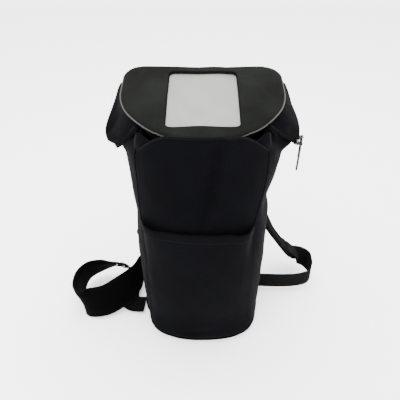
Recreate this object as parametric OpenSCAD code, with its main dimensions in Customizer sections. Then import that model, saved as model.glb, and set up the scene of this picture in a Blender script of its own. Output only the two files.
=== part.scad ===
// Portable oxygen concentrator in its carry backpack.
// Millimetres, +Z up, origin on the ground under the middle of the bag; the wearer's side is +Y.

/* [Bag body] */
// half width of the bag across its widest line
bag_a = 114; // [90:1:140]
// how far the round front stands ahead of the widest line
bag_b = 104; // [80:1:130]
// where the widest line lies, measured from the middle of the bag
bag_mid_y = 20; // [0:1:40]
// outer face of the back panel
bag_back_y = 82; // [60:1:100]
// radius of the two upright back corners
bag_corner_r = 12; // [4:1:30]
// thickness of the front and side fabric with its foam
wall_t = 3; // [2:0.5:6]
// thickness of the padded back panel
back_t = 12; // [6:1:20]
// height of the front hem in the middle
hem_z = 398; // [350:1:430]
// height of the hem where the front meets the sides
hem_side_z = 350; // [320:1:390]
// height of the side panels where they meet the back
side_back_z = 424; // [380:1:436]
// height of the back panel
back_z = 432; // [400:1:434]
// how square the round front is: 2 is an ellipse, more is squarer
bag_square = 2.5; // [2:0.1:3]
// where the front panel is sewn to the side panels
seam_y = -44; // [-60:1:-10]
// thickness of the fabric bottom
bottom_t = 3; // [2:0.5:6]
// thickness of the stiff board laid in the bottom
board_t = 4; // [2:0.5:6]

/* [Pocket] */
// height of the pocket's mouth in the middle
pocket_z = 256; // [200:1:300]
// how much lower the mouth sits at its two sewn corners
pocket_drop = 14; // [0:1:40]
// how far the pocket stands off the front panel
pocket_gap = 9; // [6:1:20]
// thickness of the pocket fabric
pocket_t = 2; // [1:0.5:4]
// height of the pocket's sewn bottom seam
pocket_floor_z = 34; // [10:1:60]

/* [Lid] */
// height of the lid's hinge line
hinge_z = 444; // [430:1:460]
// hinge line, measured from the middle of the bag
hinge_y = 80; // [70:1:82]
// how steeply the closed lid falls to the front
lid_slope = 20; // [10:1:30]
// half width of the lid
lid_a = 120; // [100:1:140]
// depth of the lid from the hinge to its widest line
lid_s = 60; // [40:1:80]
// depth of the lid from its widest line to its front
lid_b = 100; // [80:1:120]
// radius of the lid's back corners
lid_corner_r = 24; // [10:1:50]
// thickness of the lid panel
lid_t = 4; // [2:0.5:8]
// width of the piping sewn round the lid
piping_w = 4; // [2:0.5:6]
// window width
window_w = 102; // [80:1:120]
// window length
window_l = 120; // [80:1:130]
// distance from the hinge line to the window
window_u = 16; // [10:1:30]
// depth of the skirt tucked in at the front
tuck_h = 20; // [10:1:22]

/* [Straps] */
// width of the shoulder pads
pad_w = 58; // [50:1:80]
// thickness of the shoulder pads
pad_t = 9; // [5:0.5:14]
// width of the adjusting webbing
web_w = 38; // [25:1:50]
// thickness of the adjusting webbing
web_t = 2; // [1:0.5:3]

/* [Concentrator] */
// width of the unit
unit_w = 184; // [160:1:200]
// depth of the unit
unit_d = 120; // [100:1:130]
// radius of the unit's upright corners
unit_r = 36; // [10:1:40]
// height of the battery pack under the unit
battery_h = 46; // [30:1:60]
// height of the unit's casing above the battery pack
casing_h = 252; // [220:1:270]
// wall of the casing
casing_t = 3; // [2:0.5:4]
// radius of the power button
power_r = 9; // [6:0.5:12]
// radius of the small buttons
key_r = 6.5; // [5:0.5:8]
// travel of every button
key_travel = 1.2; // [0.8:0.1:1.6]

/* [Hidden] */
fine = 64;
steps = 36;
front_y = bag_mid_y - bag_b;
// heights inside the bag
board_z = bottom_t;
feet_z = board_z + board_t;
feet_h = 4;
battery_z = feet_z + feet_h;
casing_z = battery_z + battery_h;
panel_z = casing_z + casing_h;
panel_t = 6;
// strap routes: centre points, width directions, share of full width
left_pad_c = [[-46, 90, 404], [-52, 95, 340], [-64, 99, 250], [-84, 101, 170], [-104, 100, 112],
              [-118, 84, 76], [-125, 52, 56], [-134, 22, 46], [-154, -4, 41], [-182, -22, 32],
              [-208, -29, 30], [-229, -25, 29], [-243, -8, 32], [-247, 20, 38], [-236, 46, 41],
              [-210, 62, 40], [-186, 66, 40]];
left_pad_d = [[1, 0, 0], [1, 0, 0], [1, 0, 0.2], [1, 0, 0.4], [0.8, 0.2, 0.6],
              [0.35, 0.35, 0.85], [0.1, 0.42, 0.9], [0, 0.45, 0.88], [-0.1, 0.5, 0.86],
              [-0.3, 0.5, 0.8], [-0.48, 0.42, 0.77], [-0.62, 0.4, 0.67], [-0.35, 0.2, 0.9],
              [-0.1, 0, 1], [0.1, -0.2, 1], [0.1, -0.4, 0.9], [0, -0.65, 0.75]];
left_pad_k = [0.95, 1, 1, 1, 1, 1, 1, 1, 1, 1, 1, 1, 1, 1, 1, 0.9, 0.68];
left_web_c = [[-159.5, 65, 36.5], [-154, 60, 30], [-150, 48, 18], [-149, 32, 9], [-150, 14, 5],
              [-146, 0, 5], [-136, -9, 5.5], [-122.5, -11, 6]];
left_web_d = [[0, -0.65, 0.75], [0.4, -0.55, 0.65], [0.85, -0.3, 0.35], [1, 0, 0], [1, 0, 0],
              [0.9, 0.4, 0], [0.5, 0.87, 0], [-0.19, 0.98, 0]];
right_pad_c = [[46, 90, 404], [53, 95, 340], [72, 98, 250], [99, 101, 180], [130, 107, 134],
               [150, 101, 102], [172, 98, 72]];
right_pad_d = [[1, 0, 0], [1, 0, 0], [1, 0, -0.3], [0.8, 0.3, -0.6], [0.5, 0.7, -0.4],
               [0.35, 0.8, -0.35], [0.35, 0.8, -0.3]];
right_pad_k = [0.9, 1, 1, 0.95, 0.8, 0.7, 0.62];
right_web_c = [[196, 94, 48], [214, 96, 40], [230, 86, 30], [235, 66, 23], [222, 47, 20],
               [196, 38, 20], [160, 37, 20], [120.5, 39, 20]];
right_web_d = [[0.3, 0.8, -0.3], [0.1, 0.7, 0.3], [0, 0.3, 0.8], [0, 0.1, 1], [0, 0, 1],
               [0, 0, 1], [0, 0, 1], [0, 0, 1]];
handle_c = [[-60, 83.5, 421], [-46, 83.7, 421], [-36, 88, 421], [-24, 94, 421], [-8, 96.6, 421],
            [8, 96.6, 421], [24, 94, 421], [36, 88, 421], [46, 83.7, 421], [60, 83.5, 421]];
handle_d = [for (p = handle_c) [0, 0, 1]];
// skirt wing on the right: sewn edge under the piping, then the free hem
wing_top = [[117, 67, 431], [118, 54, 429], [119, 38, 424], [117, 16, 415], [109, -6, 407],
            [94, -32, 398]];
wing_hem = [[126, 68, 414], [130, 56, 406], [136, 40, 392], [146, 14, 351], [126, -6.7, 365.6],
            [90, -44, 392]];
wing_t = 2.4;

function unit(v) = v / norm(v);
function soft(v, k) = sign(v) * pow(abs(v), 2 / k);
function front_curve(a, b, y0, k = 2) =
    [for (i = [0:steps]) let (t = 180 + 180 * i / steps)
        [a * soft(cos(t), k), y0 + b * soft(sin(t), k)]];
function round_back(a, y1, r) = concat(
    [for (i = [0:6]) let (t = 15 * i) [a - r + r * cos(t), y1 - r + r * sin(t)]],
    [for (i = [0:6]) let (t = 90 + 15 * i) [-a + r + r * cos(t), y1 - r + r * sin(t)]]);
function d_outline(a, b, y0, y1, r, k = 2) =
    concat(front_curve(a, b, y0, k), round_back(a, y1, r));
function mirror_x(list) = [for (p = list) [-p[0], p[1], p[2]]];
// unit vectors along a route, across the strap and out of its face
function along(c, i) = unit(c[min(i + 1, len(c) - 1)] - c[max(i - 1, 0)]);
function across(c, d, i) = let (a = along(c, i)) unit(d[i] - a * (a * d[i]));
function four(c, d, i, w, t) =
    let (x = across(c, d, i) * w / 2, n = cross(along(c, i), across(c, d, i)) * t / 2)
    [c[i] - x - n, c[i] + x - n, c[i] + x + n, c[i] - x + n];
function tube_faces(n) = concat(
    [[0, 1, 2, 3]],
    [for (i = [0:n - 2], j = [0:3], h = [0:1])
        let (a = 4 * i + j, b = 4 * i + (j + 1) % 4)
        h == 0 ? [a, a + 4, b + 4] : [a, b + 4, b]],
    [[4 * n - 1, 4 * n - 2, 4 * n - 3, 4 * n - 4]]);

// a flat strap laid along a route
module strap(c, d, w, t, k = []) {
    n = len(c);
    pts = [for (i = [0:n - 1]) each four(c, d, i, w * (len(k) > 0 ? k[i] : 1), t)];
    polyhedron(points = pts, faces = tube_faces(n), convexity = 6);
}

// a thin shell between two rows of points, thickened towards the bag
module curtain(top, low, t, side) {
    n = len(top);
    inward = [-side * t, 0, 0];
    pts = [for (i = [0:n - 1]) each [top[i], low[i], low[i] + inward, top[i] + inward]];
    faces = side > 0 ? tube_faces(n) : [for (f = tube_faces(n)) [for (k = [len(f) - 1:-1:0]) f[k]]];
    polyhedron(points = pts, faces = faces, convexity = 6);
}

// the bag in plan, drawn in by an inset
module bag_2d(inset) {
    polygon(d_outline(bag_a - inset, bag_b - inset, bag_mid_y, bag_back_y - inset,
                      max(bag_corner_r - inset, 2), bag_square));
}

// the bag's wall in plan, between two distances in from its outside
module wall_2d(outside, inside) {
    difference() {
        bag_2d(outside);
        bag_2d(inside);
    }
}

// everything under the front hem, seen from the front
module under_front_hem(rise) {
    translate([0, seam_y, 0])
        rotate([90, 0, 0])
            linear_extrude(height = 120)
                polygon([[-200, 0], [200, 0], [200, hem_side_z + rise], [103, hem_side_z + rise],
                         [92, hem_z - 30 + rise], [66, hem_z - 8 + rise], [50, hem_z + rise],
                         [-50, hem_z + rise], [-66, hem_z - 8 + rise], [-92, hem_z - 30 + rise],
                         [-103, hem_side_z + rise], [-200, hem_side_z + rise]]);
}

// everything under the rising side hem, seen from the side
module under_side_hem(side, rise) {
    translate([side > 0 ? 60 : -180, 0, 0])
        rotate([90, 0, 90])
            linear_extrude(height = 120)
                polygon([[seam_y, bottom_t], [bag_back_y - back_t, bottom_t],
                         [bag_back_y - back_t, side_back_z + rise], [40, 396 + rise],
                         [0, 366 + rise], [seam_y, hem_side_z + rise]]);
}

module back_panel() {
    color("black")
        translate([0, 0, bottom_t])
            linear_extrude(height = back_z - bottom_t)
                intersection() {
                    bag_2d(0);
                    translate([-bag_a, bag_back_y - back_t])
                        square([2 * bag_a, back_t]);
                }
}

module front_panel() {
    color("black")
        intersection() {
            translate([0, 0, bottom_t])
                linear_extrude(height = hem_z)
                    wall_2d(0, wall_t);
            under_front_hem(0);
        }
}

module side_panel(side) {
    color("black")
        intersection() {
            linear_extrude(height = back_z)
                wall_2d(0, wall_t);
            under_side_hem(side, 0);
        }
}

module side_panel_left() { side_panel(-1); }

module side_panel_right() { side_panel(1); }

module bottom_panel() {
    color("black")
        linear_extrude(height = bottom_t)
            bag_2d(0);
}

// stiff board lying on the fabric bottom under the unit
module bottom_board() {
    color("dimgray")
        translate([0, 0, board_z])
            linear_extrude(height = board_t)
                bag_2d(back_t + 2);
}

// region in front of the side seams, between two heights, mouth dipping to its corners
module pocket_zone(low, rise) {
    translate([0, seam_y, 0])
        rotate([90, 0, 0])
            linear_extrude(height = 120)
                polygon([[-130, low], [130, low], [130, pocket_z - pocket_drop + rise],
                         [98, pocket_z - pocket_drop + rise], [76, pocket_z + rise],
                         [-76, pocket_z + rise], [-98, pocket_z - pocket_drop + rise],
                         [-130, pocket_z - pocket_drop + rise]]);
}

// a crescent hugging the front panel, between two distances out from it
module crescent_2d(near, far) {
    difference() {
        polygon(front_curve(bag_a + far * 0.3, bag_b + far, bag_mid_y, bag_square));
        polygon(front_curve(bag_a + near * 0.3, bag_b + near, bag_mid_y, bag_square));
    }
}

module front_pocket() {
    far = pocket_gap + pocket_t;
    color("black")
        intersection() {
            union() {
                linear_extrude(height = pocket_z + 20)
                    crescent_2d(pocket_gap, far);
                translate([0, 0, pocket_floor_z])
                    linear_extrude(height = 3)
                        crescent_2d(0, far);
                for (s = [-1, 1])
                    intersection() {
                        linear_extrude(height = pocket_z)
                            crescent_2d(0, far);
                        translate([s > 0 ? 88 : -140, seam_y - 6, 0])
                            cube([52, 6, pocket_z]);
                    }
            }
            pocket_zone(pocket_floor_z, -4);
        }
}

// bound edge folded over the pocket's mouth
module pocket_hem() {
    far = pocket_gap + pocket_t;
    color("black")
        intersection() {
            linear_extrude(height = pocket_z + 20)
                crescent_2d(pocket_gap - 0.6, far + 0.6);
            difference() {
                pocket_zone(100, 0);
                pocket_zone(90, -4);
            }
        }
}

// half of the zip sewn inside the front hem
module body_zip_tape() {
    color("black")
        intersection() {
            linear_extrude(height = hem_z + 20)
                wall_2d(wall_t, wall_t + 1.2);
            difference() {
                under_front_hem(4);
                under_front_hem(-12);
            }
        }
}

module grab_handle() {
    color("black")
        strap(handle_c, handle_d, 24, 2.6);
}

module shoulder_strap_left() {
    color("black")
        strap(left_pad_c, left_pad_d, pad_w, pad_t, left_pad_k);
}

module shoulder_strap_right() {
    color("black")
        strap(right_pad_c, right_pad_d, pad_w, pad_t, right_pad_k);
}

module webbing_left() {
    color("black")
        strap(left_web_c, left_web_d, web_w, web_t);
}

module webbing_right() {
    color("black")
        strap(right_web_c, right_web_d, web_w, web_t);
}

// moulded frame with two slots and a middle bar, lying in its own plane
module ladder_lock() {
    w = web_w + 10;
    difference() {
        union() {
            translate([-w / 2, -8, -1.8])
                cube([w, 16, 3.6]);
            for (y = [-8, 8])
                translate([-w / 2, y, 0])
                    rotate([0, 90, 0])
                        cylinder(h = w, r = 1.8, $fn = fine);
        }
        for (y = [-6.5, 1.5])
            translate([-web_w / 2 - 0.5, y, -3])
                cube([web_w + 1, 5, 6]);
    }
}

// sets a shape's y along a strap and its x across it
module at_strap(p, a, x) {
    y = unit(a);
    u = unit(x - y * (y * x));
    n = cross(u, y);
    multmatrix([[u[0], y[0], n[0], p[0]],
                [u[1], y[1], n[1], p[1]],
                [u[2], y[2], n[2], p[2]],
                [0, 0, 0, 1]])
        children();
}

module ladder_lock_left() {
    color("black")
        at_strap([-171, 66, 38], [1, 0, -0.1], [0, -0.65, 0.75])
            ladder_lock();
}

module ladder_lock_right() {
    color("black")
        at_strap([184, 96, 60], [24, -4, -24], [0.35, 0.8, -0.3])
            ladder_lock();
}

// folded tabs that sew the webbing ends to the bottom seam
module strap_anchors() {
    color("black") {
        translate([-bag_a + 0.1, -10.5, 13])
            rotate([0, 0, 10.9])
                cube([3.4, 38, 20], center = true);
        translate([bag_a + 0.2, 18, 8])
            cube([3.8, 40, 26]);
    }
}

// places a shape drawn flat with its hinge edge on the x axis
module on_lid() {
    translate([0, hinge_y, hinge_z])
        rotate([lid_slope, 0, 0])
            children();
}

module lid_2d(inset) {
    polygon(d_outline(lid_a - inset, lid_b - inset, -lid_s, -2 - inset * 0.5, lid_corner_r));
}

module rounded_2d(w, l, r) {
    union() {
        translate([-w / 2 + r, 0])
            square([w - 2 * r, l]);
        translate([-w / 2, r])
            square([w, l - 2 * r]);
        for (x = [-w / 2 + r, w / 2 - r], y = [r, l - r])
            translate([x, y])
                circle(r = r, $fn = fine);
    }
}

module window_2d() {
    translate([0, -window_u - window_l])
        rounded_2d(window_w, window_l, 9);
}

module lid_top() {
    color("dimgray")
        on_lid()
            translate([0, 0, -lid_t])
                linear_extrude(height = lid_t)
                    difference() {
                        lid_2d(piping_w);
                        window_2d();
                    }
}

module lid_window() {
    color("silver")
        on_lid()
            translate([0, 0, -lid_t + 1])
                linear_extrude(height = 1.4)
                    window_2d();
}

module lid_piping() {
    color("silver")
        on_lid()
            translate([0, 0, -lid_t])
                linear_extrude(height = lid_t + 0.6)
                    difference() {
                        lid_2d(0);
                        lid_2d(piping_w);
                    }
}

// front part of the skirt, folded in under the lid
module lid_skirt_front() {
    color("black")
        on_lid()
            translate([0, 0, -lid_t - tuck_h])
                linear_extrude(height = tuck_h)
                    intersection() {
                        difference() {
                            lid_2d(2);
                            lid_2d(4);
                        }
                        translate([-80, -200])
                            square([160, 80]);
                    }
}

module lid_skirt_right() {
    color("black")
        curtain(wing_top, wing_hem, wing_t, 1);
}

module lid_skirt_left() {
    color("black")
        curtain(mirror_x(wing_top), mirror_x(wing_hem), wing_t, -1);
}

// the free hem of each wing carries a zip coil a little below and outside it
corner = wing_hem[3];
coil_off = [2.5, 0, -4.3];
coil_r = 1.3;
front_run = unit(wing_hem[5] - corner);
rear_run = unit(wing_hem[2] - corner);
slider_at = 9;
slider_l = 9;
slider_h = 6;
bar_out = 7.8;
bar_r = 0.9;
tab_w = 4;
tab_t = 1.8;

module rod(a, b, r) {
    v = b - a;
    translate(a)
        rotate([0, acos(v[2] / norm(v)), atan2(v[1], v[0])])
            cylinder(h = norm(v), r = r, $fn = fine);
}

module tape_run(dir, far) {
    a = corner + dir * 1.5;
    b = far;
    rod(a + coil_off, b + coil_off, coil_r);
    strap([a + coil_off * 0.66, b + coil_off * 0.66], [coil_off, coil_off], 3.4, 0.8);
}

module lid_zip_tape() {
    color("black")
        for (m = [0, 1])
            mirror([m, 0, 0]) {
                tape_run(front_run, wing_hem[5]);
                tape_run(rear_run, wing_hem[2]);
            }
}

// level directions beside a run of the hem: along it, and away from the bag
function level(dir) = unit([dir[0], dir[1], 0]);
function away(dir) = let (h = level(dir), o = [h[1], -h[0], 0]) o[0] > 0 ? o : -o;
function slider_mid(dir) = corner + dir * slider_at + coil_off;
function bar_mid(dir) = slider_mid(dir) + away(dir) * bar_out;

// metal slider running on the coil, slotted for the tape, with a level bar for its pull
module zip_slider(dir) {
    p = slider_mid(dir);
    h = level(dir);
    o = away(dir);
    difference() {
        at_strap(p, dir, coil_off)
            translate([-slider_h / 2, -slider_l / 2, -slider_h / 2])
                cube([slider_h, slider_l, slider_h]);
        at_strap(p, dir, coil_off)
            union() {
                rotate([90, 0, 0])
                    cylinder(h = slider_l + 4, r = coil_r + 0.5, center = true, $fn = fine);
                translate([-slider_h, -slider_l, -0.9])
                    cube([slider_h, 2 * slider_l, 1.8]);
            }
    }
    for (s = [-1, 1])
        rod(p + h * 3.2 * s + o * 2.6, p + h * 3.2 * s + o * (bar_out + bar_r), bar_r);
    rod(p - h * 4.1 + o * bar_out, p + h * 4.1 + o * bar_out, bar_r);
}

// pull: an eye round the bar and a flat tongue hanging from it
module pull_tab(dir, l) {
    translate(bar_mid(dir))
        rotate([0, 0, atan2(level(dir)[1], level(dir)[0])])
            union() {
                rotate([0, 90, 0])
                    rotate_extrude($fn = fine)
                        translate([2.1, 0])
                            circle(r = 0.8, $fn = fine);
                translate([-tab_w / 2, -tab_t / 2, -l + tab_w / 2])
                    cube([tab_w, tab_t, l - tab_w / 2 - 1.7]);
                translate([0, tab_t / 2, -l + tab_w / 2])
                    rotate([90, 0, 0])
                        cylinder(h = tab_t, r = tab_w / 2, $fn = fine);
            }
}

module zip_slider_front() {
    color("silver")
        zip_slider(front_run);
}

module zip_slider_rear() {
    color("silver")
        zip_slider(rear_run);
}

module pull_tab_front() {
    color("silver")
        pull_tab(front_run, 46);
}

module pull_tab_rear() {
    color("silver")
        pull_tab(rear_run, 36);
}

// plan of the concentrator, drawn in by an inset
module unit_2d(inset) {
    translate([0, -unit_d / 2 + inset])
        rounded_2d(unit_w - 2 * inset, unit_d - 2 * inset, unit_r - inset);
}

grille_y = 0;
grille_z = casing_z + 96;
grille_w = 46;
grille_h = 54;
socket_z = casing_z + 40;
screw_x = unit_w / 2 - 16;
screw_heights = [casing_z + 24, casing_z + casing_h - 24];

module casing_shell() {
    difference() {
        translate([0, 0, casing_z])
            linear_extrude(height = casing_h)
                unit_2d(0);
        translate([0, 0, casing_z + casing_t])
            linear_extrude(height = casing_h)
                unit_2d(casing_t);
        // air intake window in the left wall and the power socket's hole in the right one
        translate([-unit_w / 2 - 1, grille_y - grille_w / 2, grille_z])
            cube([casing_t + 2, grille_w, grille_h]);
        translate([unit_w / 2 - casing_t - 1, 0, socket_z])
            rotate([0, 90, 0])
                cylinder(h = casing_t + 2, r = 6, $fn = fine);
    }
}

module casing_front() {
    color("whitesmoke")
        union() {
            intersection() {
                casing_shell();
                translate([-200, -200, 0])
                    cube([400, 200, 500]);
            }
            for (s = [-1, 1], z = screw_heights)
                difference() {
                    translate([s * screw_x, -unit_d / 2 + casing_t - 0.2, z])
                        rotate([-90, 0, 0])
                            cylinder(h = unit_d / 2 - casing_t + 0.2, r = 5, $fn = fine);
                    translate([s * screw_x, -12, z])
                        rotate([-90, 0, 0])
                            cylinder(h = 14, r = 1.6, $fn = fine);
                }
        }
}

module casing_rear() {
    color("gainsboro")
        difference() {
            union() {
                intersection() {
                    casing_shell();
                    translate([-200, 0, 0])
                        cube([400, 200, 500]);
                }
                for (s = [-1, 1], z = screw_heights)
                    translate([s * screw_x, 0, z])
                        rotate([-90, 0, 0])
                            cylinder(h = unit_d / 2 - casing_t + 0.2, r = 5, $fn = fine);
            }
            for (s = [-1, 1], z = screw_heights) {
                translate([s * screw_x, -1, z])
                    rotate([-90, 0, 0])
                        cylinder(h = unit_d, r = 1.8, $fn = fine);
                translate([s * screw_x, 8, z])
                    rotate([-90, 0, 0])
                        cylinder(h = unit_d, r = 3.6, $fn = fine);
            }
        }
}

module casing_screws() {
    color("dimgray")
        for (s = [-1, 1], z = screw_heights)
            translate([s * screw_x, 0, z])
                rotate([-90, 0, 0])
                    difference() {
                        union() {
                            translate([0, 0, -11])
                                cylinder(h = 19.2, r = 1.5, $fn = fine);
                            translate([0, 0, 8])
                                cylinder(h = 2.4, r = 3, $fn = fine);
                        }
                        translate([0, 0, 9.2])
                            cylinder(h = 3, r = 1.4, $fn = 6);
                    }
}

// places of the keys and the spigot on the control panel
power_at = [-62, 6];
plus_at = [62, 16];
minus_at = [62, -12];
alarm_at = [-62, -26];
outlet_at = [10, -44];
lens_w = 72;
lens_d = 44;
lens_y = -14;

module control_panel() {
    color("lightgray")
        difference() {
            translate([0, 0, panel_z])
                linear_extrude(height = panel_t)
                    unit_2d(0);
            translate([0, 0, panel_z - 1])
                linear_extrude(height = 3.6)
                    unit_2d(casing_t + 2);
            translate([-lens_w / 2 - 0.2, lens_y - 0.2, panel_z + panel_t - 1.5])
                cube([lens_w + 0.4, lens_d + 0.4, 3]);
            for (k = [[power_at, power_r], [plus_at, key_r], [minus_at, key_r], [alarm_at, key_r]])
                translate([k[0][0], k[0][1], panel_z - 1])
                    cylinder(h = panel_t + 2, r = k[1] + 0.4, $fn = fine);
            translate([outlet_at[0], outlet_at[1], panel_z - 1])
                cylinder(h = panel_t + 2, r = 5.2, $fn = fine);
        }
}

module display_lens() {
    color("darkslategray")
        translate([-lens_w / 2, lens_y, panel_z + panel_t - 1.5])
            cube([lens_w, lens_d, 1.5]);
}

// a key with a flange that keeps it under the panel
module key(at, r) {
    translate([at[0], at[1], 0])
        union() {
            translate([0, 0, panel_z + 0.6])
                cylinder(h = panel_t + 1.2, r = r, $fn = fine);
            translate([0, 0, panel_z + 1])
                cylinder(h = 1.4, r = r + 1.6, $fn = fine);
        }
}

module button_power() {
    color("seagreen")
        key(power_at, power_r);
}

module button_plus() {
    color("slategray")
        key(plus_at, key_r);
}

module button_minus() {
    color("slategray")
        key(minus_at, key_r);
}

module button_alarm() {
    color("slategray")
        key(alarm_at, key_r);
}

// barbed spigot for the breathing tube
module cannula_outlet() {
    color("silver")
        translate([outlet_at[0], outlet_at[1], panel_z])
            difference() {
                union() {
                    translate([0, 0, -8])
                        cylinder(h = 16, r = 5, $fn = fine);
                    translate([0, 0, panel_t])
                        cylinder(h = 2.4, r = 7.5, $fn = fine);
                    cylinder(h = 24, r = 2.6, $fn = fine);
                    for (z = [12, 16, 20])
                        translate([0, 0, z])
                            cylinder(h = 3.4, r1 = 3.6, r2 = 2.4, $fn = fine);
                }
                translate([0, 0, -9])
                    cylinder(h = 40, r = 1.5, $fn = fine);
            }
}

latch_w = 44;

module battery_pack() {
    color("dimgray")
        difference() {
            translate([0, 0, battery_z])
                linear_extrude(height = battery_h)
                    unit_2d(0);
            // recess the latch slides down in
            translate([-latch_w / 2 - 0.5, -unit_d / 2 - 1, battery_z + battery_h - 26])
                cube([latch_w + 1, 5.5, 27]);
        }
}

// sliding catch that holds the battery pack to the casing
module battery_latch() {
    color("darkorange")
        translate([-latch_w / 2, -unit_d / 2 - 0.5, battery_z + battery_h - 19])
            difference() {
                cube([latch_w, 4.5, 18]);
                for (i = [0:3])
                    translate([6, -1, 3.5 + 3.4 * i])
                        cube([latch_w - 12, 1.8, 1.6]);
            }
}

module unit_feet() {
    color("black")
        for (x = [-70, 70], y = [-44, 44])
            translate([x, y, feet_z])
                cylinder(h = feet_h, r = 8, $fn = fine);
}

floor_z = casing_z + casing_t;
pump_x = -24;
pump_r = 34;
pump_h = 64;
rotor_r = 20;

// pump housing with a bore for its motor, standing on the casing floor
module compressor_body() {
    color("darkgray")
        difference() {
            union() {
                translate([pump_x, 0, floor_z])
                    cylinder(h = pump_h, r = pump_r, $fn = fine);
                translate([pump_x - 38, -16, floor_z])
                    cube([76, 32, 34]);
            }
            translate([pump_x, 0, floor_z + 8])
                cylinder(h = pump_h, r = rotor_r + 2, $fn = fine);
        }
}

// rotor with its crank pin, turning in the housing
module motor_rotor() {
    color("darkgoldenrod")
        translate([pump_x, 0, floor_z + 10])
            union() {
                cylinder(h = 46, r = rotor_r, $fn = fine);
                cylinder(h = 60, r = 4, $fn = fine);
                translate([9, 0, 46])
                    cylinder(h = 9, r = 3, $fn = fine);
            }
}

module cylinder_heads() {
    color("silver")
        for (s = [-1, 1])
            translate([pump_x + s * 38, 0, floor_z + 17])
                rotate([0, s * 90, 0])
                    union() {
                        cylinder(h = 5, r = 15, $fn = fine);
                        translate([-17, -15, 5])
                            cube([34, 30, 3]);
                    }
}

column_r = 18;
column_h = 150;
column_at = [[52, -36], [52, 36]];
manifold_z = floor_z + column_h + 2;

// pair of canisters packed with sieve beads, with crimped end caps
module sieve_columns() {
    color("silver")
        for (c = column_at)
            translate([c[0], c[1], floor_z])
                union() {
                    cylinder(h = column_h, r = column_r, $fn = fine);
                    for (z = [0, column_h - 8])
                        translate([0, 0, z])
                            cylinder(h = 8, r = column_r + 2, $fn = fine);
                }
}

module product_tank() {
    color("lightsteelblue")
        translate([37, 0, floor_z + 4])
            union() {
                cylinder(h = column_h - 10, r = 14, $fn = fine);
                translate([0, 0, -4])
                    cylinder(h = 4, r = 10, $fn = fine);
            }
}

module valve_manifold() {
    color("dimgray")
        translate([-6, -52, manifold_z - 2])
            difference() {
                cube([72, 104, 16]);
                translate([-1, 36, 10])
                    cube([28, 32, 8]);
            }
}

valve_spots = [[30, -36], [30, 36], [54, -36], [54, 36]];

module solenoid_valves() {
    color("black")
        for (v = valve_spots)
            translate([v[0], v[1], manifold_z + 14])
                union() {
                    cylinder(h = 26, r = 9, $fn = fine);
                    translate([-5, -12, 4])
                        cube([10, 24, 16]);
                }
}

// hose from the pump up to the manifold
module feed_tube() {
    color("white")
        translate([18, 0, 0])
            difference() {
                translate([0, 0, floor_z + 34])
                    cylinder(h = manifold_z - 2 - floor_z - 34, r = 4, $fn = fine);
                translate([0, 0, floor_z + 33])
                    cylinder(h = column_h, r = 2, $fn = fine);
            }
}

// hose from the manifold up to the spigot
module outlet_tube() {
    color("white")
        translate([outlet_at[0], outlet_at[1], 0])
            difference() {
                translate([0, 0, manifold_z + 14])
                    cylinder(h = panel_z - 8 - manifold_z - 14, r = 4, $fn = fine);
                translate([0, 0, manifold_z + 13])
                    cylinder(h = panel_z, r = 1.8, $fn = fine);
            }
}

module circuit_board() {
    color("darkgreen")
        translate([-unit_w / 2 + casing_t + 8, -28, casing_z + 160])
            union() {
                cube([1.6, 56, 58]);
                for (c = [[5, 8, 18, 18, 3], [28, 10, 22, 14, 5], [8, 34, 14, 14, 2.4],
                          [34, 32, 12, 18, 8]])
                    translate([1.5, c[0], c[1]])
                        cube([c[4], c[2], c[3]]);
                for (y = [8, 48], z = [4, 54])
                    translate([-8, y, z])
                        rotate([0, 90, 0])
                            cylinder(h = 8, r = 2.2, $fn = fine);
            }
}

// the fan stands against the filter and blows into the casing
fan_x = -unit_w / 2 + casing_t + 6;
fan_mid_z = grille_z + grille_h / 2;

module at_fan() {
    translate([fan_x, grille_y, fan_mid_z])
        rotate([0, 90, 0])
            children();
}

module fan_frame() {
    color("black")
        at_fan()
            difference() {
                translate([-30, -30, 0])
                    cube([60, 60, 20]);
                translate([0, 0, 2])
                    cylinder(h = 20, r = 28, $fn = fine);
                difference() {
                    translate([0, 0, -1])
                        cylinder(h = 4, r = 27, $fn = fine);
                    translate([0, 0, -2])
                        cylinder(h = 6, r = 11, $fn = fine);
                    for (a = [0, 90])
                        rotate([0, 0, a])
                            translate([-30, -2, -2])
                                cube([60, 4, 6]);
                }
            }
}

module fan_rotor() {
    color("dimgray")
        at_fan()
            translate([0, 0, 2.6])
                union() {
                    cylinder(h = 16, r = 11, $fn = fine);
                    for (i = [0:6])
                        rotate([0, 0, i * 360 / 7])
                            translate([10, 0, 8])
                                rotate([38, 0, 0])
                                    translate([0, -7, -0.8])
                                        cube([15.5, 14, 1.6]);
                }
}

// slatted cover in the intake window
module intake_grille() {
    color("gray")
        translate([-unit_w / 2 - 0.5, grille_y - grille_w / 2, grille_z])
            difference() {
                cube([casing_t, grille_w, grille_h]);
                for (i = [0:6])
                    translate([-1, 5, 5 + 6.8 * i])
                        cube([casing_t + 2, grille_w - 10, 3.4]);
            }
}

module intake_filter() {
    color("darkslategray")
        translate([-unit_w / 2 + casing_t, grille_y - grille_w / 2 - 1, grille_z - 2])
            cube([6, grille_w + 2, grille_h + 4]);
}

// coaxial power socket in the right wall
module dc_socket() {
    color("black")
        translate([unit_w / 2, 0, socket_z])
            rotate([0, -90, 0])
                difference() {
                    union() {
                        cylinder(h = 16, r = 6, $fn = fine);
                        translate([0, 0, casing_t])
                            cylinder(h = 3, r = 9, $fn = fine);
                    }
                    difference() {
                        translate([0, 0, -1])
                            cylinder(h = 12, r = 3.4, $fn = fine);
                        translate([0, 0, -1])
                            cylinder(h = 13, r = 1.1, $fn = fine);
                    }
                }
}

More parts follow.
